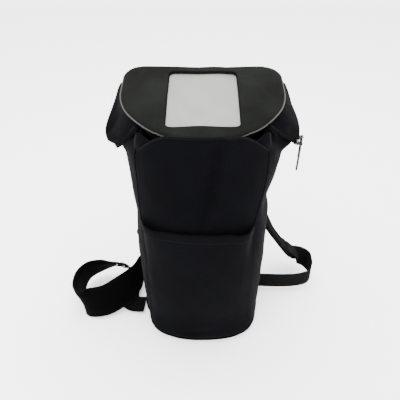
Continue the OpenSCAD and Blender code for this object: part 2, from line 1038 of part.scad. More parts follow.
back_panel();
front_panel();
side_panel_left();
side_panel_right();
bottom_panel();
bottom_board();
front_pocket();
pocket_hem();
body_zip_tape();
grab_handle();
shoulder_strap_left();
shoulder_strap_right();
webbing_left();
webbing_right();
ladder_lock_left();
ladder_lock_right();
strap_anchors();
lid_top();
lid_window();
lid_piping();
lid_skirt_front();
lid_skirt_left();
lid_skirt_right();
lid_zip_tape();
zip_slider_front();
zip_slider_rear();
pull_tab_front();
pull_tab_rear();
casing_front();
casing_rear();
casing_screws();
control_panel();
display_lens();
button_power();
button_plus();
button_minus();
button_alarm();
cannula_outlet();
battery_pack();
battery_latch();
unit_feet();
compressor_body();
motor_rotor();
cylinder_heads();
sieve_columns();
product_tank();
valve_manifold();
solenoid_valves();
feed_tube();
outlet_tube();
circuit_board();
fan_frame();
fan_rotor();
intake_grille();
intake_filter();
dc_socket();
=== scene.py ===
# Looks for the concentrator backpack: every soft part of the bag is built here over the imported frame.
import math

import bpy
import numpy as np
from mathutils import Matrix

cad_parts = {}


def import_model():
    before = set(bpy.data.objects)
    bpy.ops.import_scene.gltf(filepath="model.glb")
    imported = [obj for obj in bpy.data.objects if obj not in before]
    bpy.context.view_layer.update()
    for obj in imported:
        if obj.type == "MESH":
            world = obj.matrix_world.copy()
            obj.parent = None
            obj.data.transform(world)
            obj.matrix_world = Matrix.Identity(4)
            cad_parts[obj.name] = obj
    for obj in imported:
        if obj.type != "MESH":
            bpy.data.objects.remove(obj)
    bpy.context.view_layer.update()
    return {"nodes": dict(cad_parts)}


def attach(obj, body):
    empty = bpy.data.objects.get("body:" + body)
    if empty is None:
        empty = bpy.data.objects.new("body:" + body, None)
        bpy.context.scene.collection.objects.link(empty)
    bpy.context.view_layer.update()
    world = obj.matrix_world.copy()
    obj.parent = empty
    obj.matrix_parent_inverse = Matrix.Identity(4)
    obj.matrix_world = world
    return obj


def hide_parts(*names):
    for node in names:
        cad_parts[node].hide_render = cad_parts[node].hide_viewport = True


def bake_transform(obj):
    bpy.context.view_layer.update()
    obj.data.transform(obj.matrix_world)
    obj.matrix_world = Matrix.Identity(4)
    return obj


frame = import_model()
nodes = frame["nodes"]

# camera first
cam_data = bpy.data.cameras.new("camera")
cam = bpy.data.objects.new("camera", cam_data)
bpy.context.scene.collection.objects.link(cam)
LOOK_DOWN = math.radians(34.0)
DISTANCE = 0.588
AIM_X, AIM_Z = -0.0039, 0.250
cam.location = (AIM_X, -DISTANCE * math.cos(LOOK_DOWN), AIM_Z + DISTANCE * math.sin(LOOK_DOWN))
cam.rotation_euler = (math.pi / 2 - LOOK_DOWN, 0, 0)
cam_data.lens = 31.8
cam_data.sensor_width = 36
bpy.context.scene.camera = cam


# ---------------------------------------------------------------- materials
def new_mat(name):
    """An empty material, with its node tree and shader."""
    m = bpy.data.materials.new(name)
    m.use_nodes = True
    nt = m.node_tree
    b = nt.nodes["Principled BSDF"]
    return m, nt, b


def node(nt, kind, **kw):
    n = nt.nodes.new(kind)
    for k, v in kw.items():
        if k in n.inputs:
            n.inputs[k].default_value = v
        else:
            setattr(n, k, v)
    return n


def link(nt, a, b):
    nt.links.new(a, b)


def mix_colour(nt, fac, a, b):
    """Blend of two colours, each a tuple or a socket."""
    n = nt.nodes.new("ShaderNodeMix")
    n.data_type = "RGBA"
    for s, v in ((n.inputs[6], a), (n.inputs[7], b)):
        if isinstance(v, tuple):
            s.default_value = (*v, 1)
        else:
            link(nt, v, s)
    link(nt, fac, n.inputs[0])
    return n.outputs[2]


def ramp(nt, src, lo, hi, a=0.0, b=1.0):
    """Maps src from lo..hi to a..b."""
    n = nt.nodes.new("ShaderNodeMapRange")
    n.inputs[1].default_value = lo
    n.inputs[2].default_value = hi
    n.inputs[3].default_value = a
    n.inputs[4].default_value = b
    link(nt, src, n.inputs[0])
    return n.outputs[0]


def maths(nt, op, a, b=None):
    n = nt.nodes.new("ShaderNodeMath")
    n.operation = op
    for s, v in ((n.inputs[0], a), (n.inputs[1], b)):
        if v is None:
            continue
        if isinstance(v, (int, float)):
            s.default_value = v
        else:
            link(nt, v, s)
    return n.outputs[0]


def noise(nt, coord, scale, detail):
    n = node(nt, "ShaderNodeTexNoise", Scale=scale, Detail=detail)
    link(nt, coord, n.inputs["Vector"])
    return n.outputs["Fac"]


def relief(nt, b, height, strength, distance):
    """Bump on the shader b from a height, distance in metres."""
    n = node(nt, "ShaderNodeBump", Strength=strength, Distance=distance)
    link(nt, height, n.inputs["Height"])
    link(nt, n.outputs["Normal"], b.inputs["Normal"])


def weave(nt, pitch, coord):
    """Height of a plain weave: bands along the axes that lie in the face, pitch in metres."""
    out = None
    sep = node(nt, "ShaderNodeSeparateXYZ")
    link(nt, node(nt, "ShaderNodeTexCoord").outputs["Normal"], sep.inputs[0])
    for i, axis in enumerate("XYZ"):
        w = node(nt, "ShaderNodeTexWave", wave_type="BANDS", bands_direction=axis,
                 wave_profile="SIN")
        w.inputs["Scale"].default_value = 0.314 / pitch
        w.inputs["Distortion"].default_value = 0.0
        link(nt, coord, w.inputs["Vector"])
        square = maths(nt, "MULTIPLY", sep.outputs[i], sep.outputs[i])
        along = maths(nt, "POWER", maths(nt, "SUBTRACT", 1.0, square), 3.0)
        part = maths(nt, "MULTIPLY", w.outputs["Fac"], along)
        out = part if out is None else maths(nt, "ADD", out, part)
    return out


def fabric(name, dark, light, pitch=0.0011, rough=0.88, bump=0.35, sheen=0.012, fuzz=0.0004,
           blotch=9.0, spec=0.04):
    """Woven cloth: threads, slow blotches in its tone, and fuzz; blotch is the scale of the blotches."""
    m, nt, b = new_mat(name)
    co = node(nt, "ShaderNodeTexCoord").outputs["Object"]
    wv = weave(nt, pitch, co)
    big = noise(nt, co, blotch, 4)
    fine = noise(nt, co, 900, 3)
    threads = ramp(nt, wv, 0.4, 1.7)
    tone_blotch = ramp(nt, big, 0.35, 0.68)
    f = maths(nt, "ADD", maths(nt, "MULTIPLY", threads, 0.45), maths(nt, "MULTIPLY", tone_blotch, 0.35))
    f = maths(nt, "ADD", f, maths(nt, "MULTIPLY", fine, 0.25))
    col = mix_colour(nt, f, dark, light)
    link(nt, col, b.inputs["Base Color"])
    link(nt, ramp(nt, big, 0.3, 0.7, rough + 0.06, rough - 0.08), b.inputs["Roughness"])
    b.inputs["Specular IOR Level"].default_value = spec
    b.inputs["IOR"].default_value = 1.2
    b.inputs["Sheen Weight"].default_value = sheen
    b.inputs["Sheen Roughness"].default_value = 0.45
    relief(nt, b, maths(nt, "ADD", wv, maths(nt, "MULTIPLY", fine, 1.1)), bump, fuzz)
    return m


def plastic(name, colour, rough=0.4, grain=0.00012, scale=1400, spec=0.5, coat=0.0, vary=0.12,
            metal=0.0):
    m, nt, b = new_mat(name)
    co = node(nt, "ShaderNodeTexCoord").outputs["Object"]
    grit = noise(nt, co, scale, 2)
    tone = noise(nt, co, 22, 5)
    lo = tuple(c * (1 - vary) for c in colour)
    hi = tuple(min(1, c * (1.08 + vary)) for c in colour)
    link(nt, mix_colour(nt, ramp(nt, tone, 0.3, 0.7), lo, hi), b.inputs["Base Color"])
    link(nt, ramp(nt, tone, 0.3, 0.7, rough - 0.06, rough + 0.1), b.inputs["Roughness"])
    b.inputs["Specular IOR Level"].default_value = spec
    b.inputs["Coat Weight"].default_value = coat
    b.inputs["Metallic"].default_value = metal
    relief(nt, b, grit, 0.35, grain)
    return m


def mesh_foam(name):
    """Spacer mesh: dark fabric with a honeycomb of small holes."""
    m, nt, b = new_mat(name)
    co = node(nt, "ShaderNodeTexCoord").outputs["Object"]
    v = node(nt, "ShaderNodeTexVoronoi")
    v.inputs["Scale"].default_value = 330
    v.inputs["Randomness"].default_value = 0.15
    link(nt, co, v.inputs["Vector"])
    f = ramp(nt, v.outputs["Distance"], 0.18, 0.52)
    link(nt, mix_colour(nt, f, (0.0006, 0.0006, 0.0007), (0.0065, 0.0065, 0.007)), b.inputs["Base Color"])
    b.inputs["Roughness"].default_value = 0.92
    b.inputs["Specular IOR Level"].default_value = 0.04
    b.inputs["IOR"].default_value = 1.2
    b.inputs["Sheen Weight"].default_value = 0.012
    relief(nt, b, f, 0.8, 0.0012)
    return m


M_BAG = fabric("bag_cloth", (0.0007, 0.0007, 0.0010), (0.0024, 0.0024, 0.0031))
# painted top light: the lid uses a lighter copy of the bag's black cloth, standing in for the light falling
# on its upward face
M_LID_TOPLIT = fabric("lid_cloth", (0.0027, 0.0029, 0.0027), (0.0090, 0.0096, 0.0088), blotch=17)
M_SKIRT = fabric("skirt_cloth", (0.0004, 0.0004, 0.0006), (0.0017, 0.0017, 0.0022))
# painted highlight: a lighter grey for the lid's back-edge tape, standing in for light caught along that
# edge
M_EDGE_HIGHLIGHT = fabric("lid_edge_tape_painted_highlight", (0.010, 0.0104, 0.0098), (0.021, 0.0215, 0.0205), pitch=0.0014)
M_LINING = fabric("lining_cloth", (0.0012, 0.0012, 0.0016), (0.003, 0.003, 0.0038), rough=0.7,
                  pitch=0.0008)
M_PAD = fabric("pad_cloth", (0.0005, 0.0005, 0.0006), (0.0016, 0.0016, 0.0018), rough=0.92)
M_WEB = fabric("webbing_weave", (0.0007, 0.0007, 0.0008), (0.0034, 0.0034, 0.0035), pitch=0.0019,
               bump=0.7, fuzz=0.0008, spec=0.07)
M_BIND = fabric("binding_tape", (0.001, 0.001, 0.0012), (0.0034, 0.0034, 0.0037), pitch=0.0015,
                bump=0.6, spec=0.07)
M_TAPE = fabric("zip_tape_weave", (0.001, 0.001, 0.0012), (0.0028, 0.0028, 0.003), pitch=0.0009)
M_PIPE = fabric("piping_reflective", (0.036, 0.037, 0.035), (0.066, 0.067, 0.063), rough=0.6,
                pitch=0.0008, sheen=0.02)
M_THREAD = fabric("sewing_thread", (0.0016, 0.0016, 0.0018), (0.006, 0.006, 0.0064),
                  pitch=0.0004)
M_MESH = mesh_foam("spacer_mesh")
M_BUCKLE = plastic("acetal_black", (0.0024, 0.0024, 0.0027), rough=0.65, spec=0.03)
M_NICKEL = plastic("nickel", (0.052, 0.051, 0.048), rough=0.34, metal=1.0, grain=0.00004)
M_GUN = plastic("gunmetal", (0.010, 0.0098, 0.0095), rough=0.4, metal=1.0, grain=0.00004)
M_COIL = plastic("zip_coil_nylon", (0.0016, 0.0016, 0.0018), rough=0.7, spec=0.02)


# ---------------------------------------------------------------- mesh helpers (millimetres in)
def obj(name, V, F, mats, body, smooth=True):
    me = bpy.data.meshes.new(name)
    me.from_pydata([tuple(map(float, v)) for v in np.asarray(V) * 0.001], [], F)
    me.validate()
    me.update()
    for m in (mats if isinstance(mats, list) else [mats]):
        me.materials.append(m)
    for p in me.polygons:
        p.use_smooth = smooth
    o = bpy.data.objects.new(name, me)
    bpy.context.scene.collection.objects.link(o)
    if body:
        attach(o, body)
    return o


def normals(P, wrap=False):
    """Unit normals of a grid of points P[rows][cols]."""
    du = np.gradient(P, axis=1)
    if wrap:
        du = (np.roll(P, -1, 1) - np.roll(P, 1, 1)) / 2
    dv = np.gradient(P, axis=0)
    n = np.cross(du, dv)
    return n / np.maximum(np.linalg.norm(n, axis=2, keepdims=True), 1e-9)


def shell_mesh(P, thick, wrap=False, side=1):
    """Closed thick sheet from a grid: the given face, and one set back along the normal."""
    R, C = P.shape[:2]
    N = normals(P, wrap) * side
    Q = P - N * (thick if np.ndim(thick) == 0 else thick[..., None])
    V = np.concatenate([P.reshape(-1, 3), Q.reshape(-1, 3)])
    k = R * C
    F = []
    cc = C if wrap else C - 1

    def idx(r, c):
        return r * C + c % C

    for r in range(R - 1):
        for c in range(cc):
            a, b, d, e = idx(r, c), idx(r, c + 1), idx(r + 1, c + 1), idx(r + 1, c)
            F.append((a, b, d, e) if side > 0 else (a, e, d, b))
            F.append((a + k, e + k, d + k, b + k) if side > 0 else (a + k, b + k, d + k, e + k))
    for c in range(cc):
        for r, flip in ((0, False), (R - 1, True)):
            a, b = idx(r, c), idx(r, c + 1)
            f = (a, a + k, b + k, b)
            F.append(f if (flip == (side < 0)) else f[::-1])
    if not wrap:
        for r in range(R - 1):
            for c, flip in ((0, True), (C - 1, False)):
                a, b = idx(r, c), idx(r + 1, c)
                f = (a, a + k, b + k, b)
                F.append(f if (flip == (side < 0)) else f[::-1])
    return V, F


def sheet(name, P, thick, mats, body, wrap=False, side=1, sub=1):
    """A cloth piece over the grid P, with sub levels of subdivision."""
    V, F = shell_mesh(np.asarray(P, float), thick, wrap, side)
    o = obj(name, V, F, mats, body)
    if sub:
        o.modifiers.new("soft", "SUBSURF").levels = sub
        o.modifiers["soft"].render_levels = sub
    return o


def smooth_path(pts, per=10):
    """Catmull-Rom through given points."""
    p = np.asarray(pts, float)
    out = []
    for i in range(len(p) - 1):
        a, b = p[max(i - 1, 0)], p[i]
        c, d = p[i + 1], p[min(i + 2, len(p) - 1)]
        for t in np.arange(per) / per:
            out.append(0.5 * (2 * b + (c - a) * t + (2 * a - 5 * b + 4 * c - d) * t * t
                              + (3 * b - a - 3 * c + d) * t ** 3))
    out.append(p[-1])
    return np.array(out)


def resample(path, step):
    """The same path with points at an even step."""
    d = np.linalg.norm(np.diff(path, axis=0), axis=1)
    s = np.concatenate([[0], np.cumsum(d)])
    n = max(int(round(s[-1] / step)), 2)
    t = np.linspace(0, s[-1], n + 1)
    return np.stack([np.interp(t, s, path[:, i]) for i in range(3)], 1)


def frames(path):
    """Two directions square to a path at each point, turning as little as possible."""
    t = np.gradient(path, axis=0)
    t /= np.maximum(np.linalg.norm(t, axis=1, keepdims=True), 1e-9)
    ref = np.array([0.0, 0.0, 1.0]) if abs(t[0][2]) < 0.9 else np.array([1.0, 0, 0])
    u = []
    for i in range(len(path)):
        ref = ref - t[i] * (ref @ t[i])
        ref /= np.linalg.norm(ref)
        u.append(ref.copy())
    u = np.array(u)
    return u, np.cross(t, u)


def tube_mesh(path, r, n=10, closed=False):
    """A round tube of n sides along a path; r is one radius or one for each point."""
    path = np.asarray(path, float)
    u, w = frames(path)
    rr = np.broadcast_to(r, (len(path),))
    a = np.linspace(0, 2 * np.pi, n, endpoint=False)
    V = (path[:, None] + rr[:, None, None] * (u[:, None] * np.cos(a)[None, :, None]
                                              + w[:, None] * np.sin(a)[None, :, None]))
    V = V.reshape(-1, 3)
    F = []
    m = len(path)
    for i in range(m if closed else m - 1):
        for j in range(n):
            q = (i + 1) % m
            F.append((i * n + j, i * n + (j + 1) % n, q * n + (j + 1) % n, q * n + j))
    if not closed:
        F.append(tuple(range(n))[::-1])
        F.append(tuple((m - 1) * n + j for j in range(n)))
    return V, F


def join(parts):
    """Several meshes as one."""
    V, F, k = [], [], 0
    for v, f in parts:
        V.append(np.asarray(v, float))
        F += [tuple(i + k for i in x) for x in f]
        k += len(v)
    return np.concatenate(V), F


def tube(name, path, r, mat, body, n=10, closed=False):
    V, F = tube_mesh(path, r, n, closed)
    return obj(name, V, F, mat, body)


def stitch_mesh(path, pitch=3.4, r=0.32, share=0.68):
    """A line of thread: short raised stitches with gaps between them."""
    p = resample(np.asarray(path, float), pitch)
    parts = []
    for a, b in zip(p[:-1], p[1:]):
        d = (b - a) * share
        c = (a + b) / 2
        q = np.array([c - d / 2, c - d / 4, c + d / 4, c + d / 2])
        parts.append(tube_mesh(q, np.array([0.25, 1, 1, 0.25]) * r, 5))
    return join(parts)


def stitches(name, paths, body, **kw):
    V, F = join([stitch_mesh(p, **kw) for p in paths])
    return obj(name, V, F, M_THREAD, body)


def coil_mesh(path, pitch=1.5):
    """Zip teeth: small rounded links across the tape's edge."""
    p = resample(np.asarray(path, float), pitch)
    u, w = frames(p)
    parts = []
    for i in range(len(p)):
        q = p[i] + np.outer([-1.4, -0.7, 0.7, 1.4], w[i])
        q = q + np.outer([-0.2, 0.45, 0.45, -0.2], u[i])
        parts.append(tube_mesh(q, 0.5, 6))
    return join(parts)


def smoothstep(x, a, b):
    t = np.clip((np.asarray(x, float) - a) / (b - a), 0, 1)
    return t * t * (3 - 2 * t)


def bump_at(x, c, w):
    return np.exp(-((np.asarray(x, float) - c) / w) ** 2)


# ---------------------------------------------------------------- the bag's surface
HALF_W, HALF_D, MID_Y, BACK_Y, CORNER_R, SQUARE = 114.0, 104.0, 20.0, 82.0, 12.0, 2.5


def soft(v, k):
    """Superellipse term, keeping the sign."""
    return np.sign(v) * np.abs(v) ** (2 / k)


def plan():
    """Dense outline, from the middle of the back round by the right side and the front to the left."""
    a = np.linspace(0, -np.pi, 721)
    f = np.stack([HALF_W * soft(np.cos(a), SQUARE), MID_Y + HALF_D * soft(np.sin(a), SQUARE)], 1)
    c = np.linspace(np.pi / 2, 0, 25)
    r = np.stack([HALF_W - CORNER_R + CORNER_R * np.cos(c), BACK_Y - CORNER_R + CORNER_R * np.sin(c)], 1)
    mirrored = np.stack([-r[::-1, 0], r[::-1, 1]], 1)
    p = np.concatenate([[[0, BACK_Y]], r, f, mirrored, [[0, BACK_Y]]])
    keep = np.concatenate([[True], np.linalg.norm(np.diff(p, axis=0), axis=1) > 1e-6])
    return p[keep]


PLAN = plan()
PLAN_S = np.concatenate([[0], np.cumsum(np.linalg.norm(np.diff(PLAN, axis=0), axis=1))])
TOTAL = PLAN_S[-1]
PLAN_T = np.gradient(PLAN, axis=0)
PLAN_T /= np.linalg.norm(PLAN_T, axis=1, keepdims=True)
# travelling clockwise seen from above, the outside is on the left of the heading
PLAN_N = np.stack([-PLAN_T[:, 1], PLAN_T[:, 0]], 1)


def s_at(x, y):
    """How far round the plan its point nearest to (x, y) lies."""
    return PLAN_S[np.argmin((PLAN[:, 0] - x) ** 2 + (PLAN[:, 1] - y) ** 2)]


def around(s):
    """Plan point and outward direction at s."""
    s = np.asarray(s, float)
    xy = np.stack([np.interp(s, PLAN_S, PLAN[:, i]) for i in (0, 1)], -1)
    n = np.stack([np.interp(s, PLAN_S, PLAN_N[:, i]) for i in (0, 1)], -1)
    return xy, n / np.linalg.norm(n, axis=-1, keepdims=True)


S_BACK_R = s_at(HALF_W - 2, BACK_Y - CORNER_R + 3)
S_SEAM_R = s_at(90, -56)
S_SEAM_LOW = s_at(77, -67)
S_SEAM_L = s_at(-94, -52)
S_BACK_L = s_at(-HALF_W + 2, BACK_Y - CORNER_R + 3)

RIM_FRONT = np.array([[0, 396.5], [44, 396.5], [52, 395], [60, 391.5], [68, 386.5], [77, 379],
                      [88, 369], [95, 361], [103, 352]])
RIM_SIDE = np.array([[-62, 366], [-56, 370], [-51, 381], [-46, 387], [-38, 387],
                     [-26, 383], [-12, 378], [8, 373], [28, 380], [46, 396], [62, 414], [82, 424]])


def rim(s):
    """Height of the open top edge round the bag."""
    xy, _ = around(s)
    x, y = np.abs(xy[..., 0]), xy[..., 1]
    front = np.interp(x, RIM_FRONT[:, 0], RIM_FRONT[:, 1])
    side = np.interp(y, RIM_SIDE[:, 0], RIM_SIDE[:, 1])
    k = smoothstep(-y, 50, 58)
    return front * k + side * (1 - k)


def swell(x, y, z, s):
    """How far the cloth stands off its plan, outwards, in mm: folds, dents and the soft base."""
    front = smoothstep(-y, 30, 70)
    side_r = smoothstep(x, 85, 110)
    side_l = smoothstep(-x, 85, 110)
    d = -9.0 + np.sqrt(np.maximum(81 - np.maximum(9 - z, 0) ** 2, 0))
    d = np.where(z < 9, d, 0.0)
    d = d * (1 - 0.6 * smoothstep(y, 40, 80)) + 9.5 * front * bump_at(z, 8, 30)
    d -= 3.5 * (1 - smoothstep(z, 0, 80)) * (side_l + side_r)
    d += 1.6 * np.sin(np.pi * np.clip(z / 400, 0, 1)) * front
    # the right side is pinched in below the lid, and the left a little lower
    d -= side_r * (6.5 * bump_at(z, 272, 20) + 2.5 * smoothstep(z, 20, 120) * (1 - smoothstep(z, 300, 345)))
    d += side_r * 2.0 * bump_at(z, 318, 18)
    d -= side_l * 2.6 * bump_at(z, 245, 30)
    # long soft fold down the front from the hem
    xf = (z - 270) * 0.17
    d -= 4.2 * bump_at(x, xf, 6) * front * smoothstep(z, 235, 290) * (1 - 0.4 * smoothstep(z, 380, 398))
    d += 2.4 * bump_at(x, xf + 13, 8) * front * smoothstep(z, 250, 300)
    # slack ripples in the cloth, calmer on the front
    calm = 1 - 0.55 * front
    d += calm * 1.1 * np.sin(0.052 * s + 0.021 * z + 1.0) * np.sin(0.017 * z + 0.4)
    d += calm * (0.8 * np.sin(0.021 * s - 0.033 * z + 2.0) + 0.35 * np.sin(0.09 * s + 0.05 * z))
    d += calm * 0.3 * np.sin(0.14 * s - 0.11 * z + 0.7) * smoothstep(z, 0, 60)
    # crumple near the base
    d -= 1.8 * bump_at(z, 26 + 0.10 * (x + 20), 5) * bump_at(x, -6, 30) * front
    return d


def flare(x, y, z):
    """The side cloth rolls out under the skirt's corners."""
    roll = np.where(x > 0, 23.0, 11.0) * bump_at(z, 354, 7.5) * bump_at(y, 12, 25)
    low = np.where(x > 0, 5.0, 1.5) * bump_at(z, 338, 11) * bump_at(y, 4, 40)
    roll = (roll + low) * smoothstep(np.abs(x), 84, 108)
    lean = smoothstep(z, 356, 386) * bump_at(y, -10, 46)
    return roll - (13.0 + 15.0 * bump_at(y, -38, 18)) * lean


def bag_point(s, z, out=0.0):
    """A point of the bag's wall: s round its plan, z up it, and out mm off the cloth."""
    xy, n = around(s)
    x, y = xy[..., 0], xy[..., 1]
    d = swell(x, y, z, s)
    # what joins the stiff back stays on its plan
    hold = 1 - smoothstep(y, 45, 74)
    d = d * hold + flare(x, y, z) * hold + out
    return np.stack([x + n[..., 0] * d, y + n[..., 1] * d, z + np.zeros_like(x)], -1)


def seam_s(s, z):
    """Where a seam runs at a height; the right one comes forward below the hem."""
    if s != S_SEAM_R:
        return np.full_like(z, s)
    return S_SEAM_LOW + (S_SEAM_R - S_SEAM_LOW) * smoothstep(z, 235, 330)


PANEL_THICK = 2.6
PANEL_FOOT = 1.2


def panel(name, s0, s1, cols, rows=84):
    """One lined cloth of the bag's wall, from seam to seam and from the floor up to the rim."""
    t = np.linspace(0, 1, cols)
    top = rim(s0 + (s1 - s0) * t)
    v = np.linspace(0, 1, rows) ** 0.9
    z = PANEL_FOOT + (top[None] - PANEL_FOOT) * v[:, None]
    P = bag_point(seam_s(s0, z) * (1 - t) + seam_s(s1, z) * t, z)
    return sheet(name, P, PANEL_THICK, M_BAG, "bag", side=-1)


front = panel("front_cloth", S_SEAM_R, S_SEAM_L, 90)
right = panel("side_cloth_right", S_BACK_R, S_SEAM_R, 46)
left = panel("side_cloth_left", S_SEAM_L, S_BACK_L, 46)
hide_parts("front_panel")
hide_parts("side_panel_right")
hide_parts("side_panel_left")

# ---------------------------------------------------------------- seams, hems and the bag's base
for side, s in (("right", S_SEAM_R), ("left", S_SEAM_L)):
    z = np.linspace(9, float(rim(s)) - 3, 90)
    path = bag_point(seam_s(s, z), z, 0.2)
    tube(f"seam_cord_{side}", path, 1.1, M_BAG, "bag", 8)
    inner = seam_s(s, z) + (7 if side == "right" else -7)
    stitches(f"seam_stitch_{side}", [bag_point(inner, z, 0.25)], "bag", r=0.26)

s = np.linspace(S_BACK_R, S_BACK_L, 300)
base_edge = bag_point(s, np.full_like(s, 12.0), 0.5)
tube("base_seam_cord", base_edge, 1.2, M_BIND, "bag", 8)

# folded binding on the open top edge, with its stitching
top = rim(s)
tube("rim_binding", bag_point(s, top, -1.3), 1.8, M_BIND, "bag", 10)
stitches("rim_stitch", [bag_point(s, top - 6.5, 0.1)], "bag", r=0.22)

# zip half inside the front hem
s_zip = np.linspace(s_at(109, -30), s_at(-109, -30), 170)
zt = rim(s_zip)
rows = np.linspace(-17, -1.0, 5)
P = np.stack([bag_point(s_zip, zt + r, -4.0 - 0.3 * (r < 0)) for r in rows])
body_zip = sheet("body_zip_band", P, 0.8, M_TAPE, "bag", sub=0)
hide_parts("body_zip_tape")
V, F = coil_mesh(bag_point(s_zip, zt - 1.0, -4.4))
obj("body_zip_coil", V, F, M_COIL, "bag")

# side cloth tucked in behind each end of the front hem, pushed up into a soft lump
FOLD = [(62, -64, 378), (68, -61, 382.5), (76, -55, 386), (84, -47, 388.5), (90, -39, 387.5),
        (93, -33, 385)]
for side, sx in (("right", 1), ("left", -1)):
    crest = smooth_path(FOLD, 7)
    n = len(crest)
    s = np.linspace(s_at(64, -75), s_at(104, -36), n)
    low = bag_point(s, rim(s) - 26.0, -5.0)
    ahead = np.stack([np.full(n, 0.45), np.full(n, -0.85), np.full(n, 0.25)], -1)
    e = np.linspace(0, 1, n)
    P = []
    for v in np.linspace(0, 1, 12):
        lump = (4.5 * math.sin(math.pi * v ** 1.6) * np.sin(np.pi * e) ** 0.7
                + 1.2 * np.sin(e * 11 + 2 * v) * math.sin(math.pi * v))
        P.append(low * (1 - v) + crest * v + ahead * lump[:, None])
    back_row = P[-1] + np.array([-1.5, 5.0, -2.5])
    P = np.array(P + [back_row, back_row + np.array([-0.5, 2.5, -9.0])]) * np.array([sx, 1, 1])
    sheet(f"corner_fold_{side}", P, 1.8, M_BAG, "bag", side=sx)

# fabric bottom, rolled up into the walls
sb = np.linspace(0, TOTAL, 160, endpoint=False)
ring = bag_point(sb, np.full_like(sb, 3.2), 0.0)
mid = np.array([0, 0, 0.9])
P = []
for t in (1.0, 0.985, 0.95, 0.9, 0.7, 0.4, 0.08):
    q = mid + (ring - mid) * t
    q[:, 2] = 0.35 + 2.85 * max(0, (t - 0.93) / 0.07) ** 2
    P.append(q)
bottom = sheet("bag_bottom", np.array(P), 2.2, M_BAG, "bag", wrap=True, side=-1, sub=0)
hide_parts("bottom_panel")

# ---------------------------------------------------------------- front pocket
MOUTH = np.array([[0, 250.5], [40, 250.5], [60, 249.8], [68, 250.6], [76, 254], [86, 257], [95, 259]])
POCKET_LOW = 14.0
S_P0, S_P1 = s_at(76, -68), s_at(-90, -55)
S_P = np.linspace(S_P0, S_P1, 96)


def mouth_z(s):
    """Height of the pocket's mouth."""
    xy, _ = around(s)
    return np.interp(np.abs(xy[..., 0]), MOUTH[:, 0], MOUTH[:, 1])


def pocket_out(s, z):
    """How far the pocket cloth stands off the front panel."""
    xy, _ = around(s)
    x = xy[..., 0]
    edge = np.minimum(s - S_P0, S_P1 - s)
    near_mouth = np.clip((z - POCKET_LOW) / (mouth_z(s) - POCKET_LOW), 0, 1)
    corner = 7.0 * bump_at(x, 56, 17) + 4.0 * bump_at(x, -72, 12)
    middle = 3.4 + 0.8 * np.sin(x * 0.05 + 0.6)
    rise = smoothstep(edge, 0, 16)
    body = 0.9 + (middle + corner * smoothstep(near_mouth, 0.66, 1.0)) * near_mouth ** 1.3
    wave = 0.35 * np.sin(0.05 * x + 0.012 * z) + 0.2 * np.sin(0.09 * x - 0.02 * z + 1.0)
    return 1.5 + rise * (body + wave * np.sin(np.pi * near_mouth))


rows = 66
zz = POCKET_LOW + (mouth_z(S_P)[None] - POCKET_LOW) * np.linspace(0, 1, rows)[:, None]
SS = np.broadcast_to(S_P, zz.shape)
P = bag_point(SS, zz, pocket_out(SS, zz))
pocket = sheet("pocket_cloth", P, 1.6, M_BAG, "bag")
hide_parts("front_pocket")
drop = np.array([-15.0, -14.4, -10, -5, -1.2, 0.6])
P = np.stack([bag_point(S_P, mouth_z(S_P) + r, pocket_out(S_P, mouth_z(S_P) + r)
                        + (0.15 if i == 0 else 0.75)) for i, r in enumerate(drop)])
hem = sheet("pocket_mouth_hem", P, 2.6, M_BAG, "bag")
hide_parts("pocket_hem")
stitches("pocket_mouth_stitch",
         [bag_point(S_P, mouth_z(S_P) + r, pocket_out(S_P, mouth_z(S_P) + r) + 0.85)
          for r in (-12.5, -2.4)], "bag", r=0.22)

# ---------------------------------------------------------------- padded back
xs = np.linspace(-HALF_W + 1.5, HALF_W - 1.5, 96)
zs = np.linspace(2.5, 431, 150)
X, Z = np.meshgrid(xs, zs)
edge = np.minimum(np.minimum(X - xs[0], xs[-1] - X), np.minimum(Z - zs[0], zs[-1] - Z))
quilt = (1 - 0.75 * bump_at(X, 0, 5)) * (1 - 0.8 * bump_at(np.abs(X), 84, 2.6))
quilt = quilt * (1 - 0.75 * bump_at(Z, 150, 3.6)) * (1 - 0.75 * bump_at(Z, 292, 3.6))
quilt = quilt * smoothstep(edge, 0, 9)
Y = 78.6 + 4.6 * quilt + 0.25 * np.sin(X * 0.09) * np.sin(Z * 0.04)
curve = 1 - np.sqrt(np.clip(1 - ((11 - np.clip(edge, 0, 11)) / 11) ** 2, 0, 1))
Y = Y - 7.0 * curve
back_outer = np.stack([X, Y, Z], -1)
back = sheet("back_pad", back_outer, np.clip(Y - 70.3, 1.2, None), M_MESH, "bag", side=-1)
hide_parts("back_panel")
lines = []
for x in (-84, -2.4, 2.4, 84):
    q = np.stack([np.full(60, float(x)), np.interp(np.linspace(12, 420, 60), zs,
                 Y[:, np.argmin(abs(xs - x))]) + 0.25, np.linspace(12, 420, 60)], -1)
    lines.append(q)
stitches("back_stitch", lines, "bag")
for side, sx in (("right", 1), ("left", -1)):
    z = np.linspace(4, 425, 80)
    path = np.stack([sx * np.full_like(z, HALF_W - 3.2), np.full_like(z, 75.5), z], -1)
    tube(f"back_edge_binding_{side}", path, 3.0, M_BIND, "bag", 10)

# ---------------------------------------------------------------- lid
HINGE_Y, HINGE_Z, TILT = 80.0, 444.0, math.radians(20.0)
LID_A, LID_S, LID_B, LID_R = 120.0, 60.0, 100.0, 24.0


def lid_pt(x, u, h):
    """Lid frame to bag frame: x across, u forwards from the hinge and h off the lid's top."""
    x, u, h = np.broadcast_arrays(np.asarray(x, float), np.asarray(u, float), np.asarray(h, float))
    y = HINGE_Y - u * math.cos(TILT) - h * math.sin(TILT)
    z = HINGE_Z - u * math.sin(TILT) + h * math.cos(TILT)
    return np.stack([x, y, z], -1)


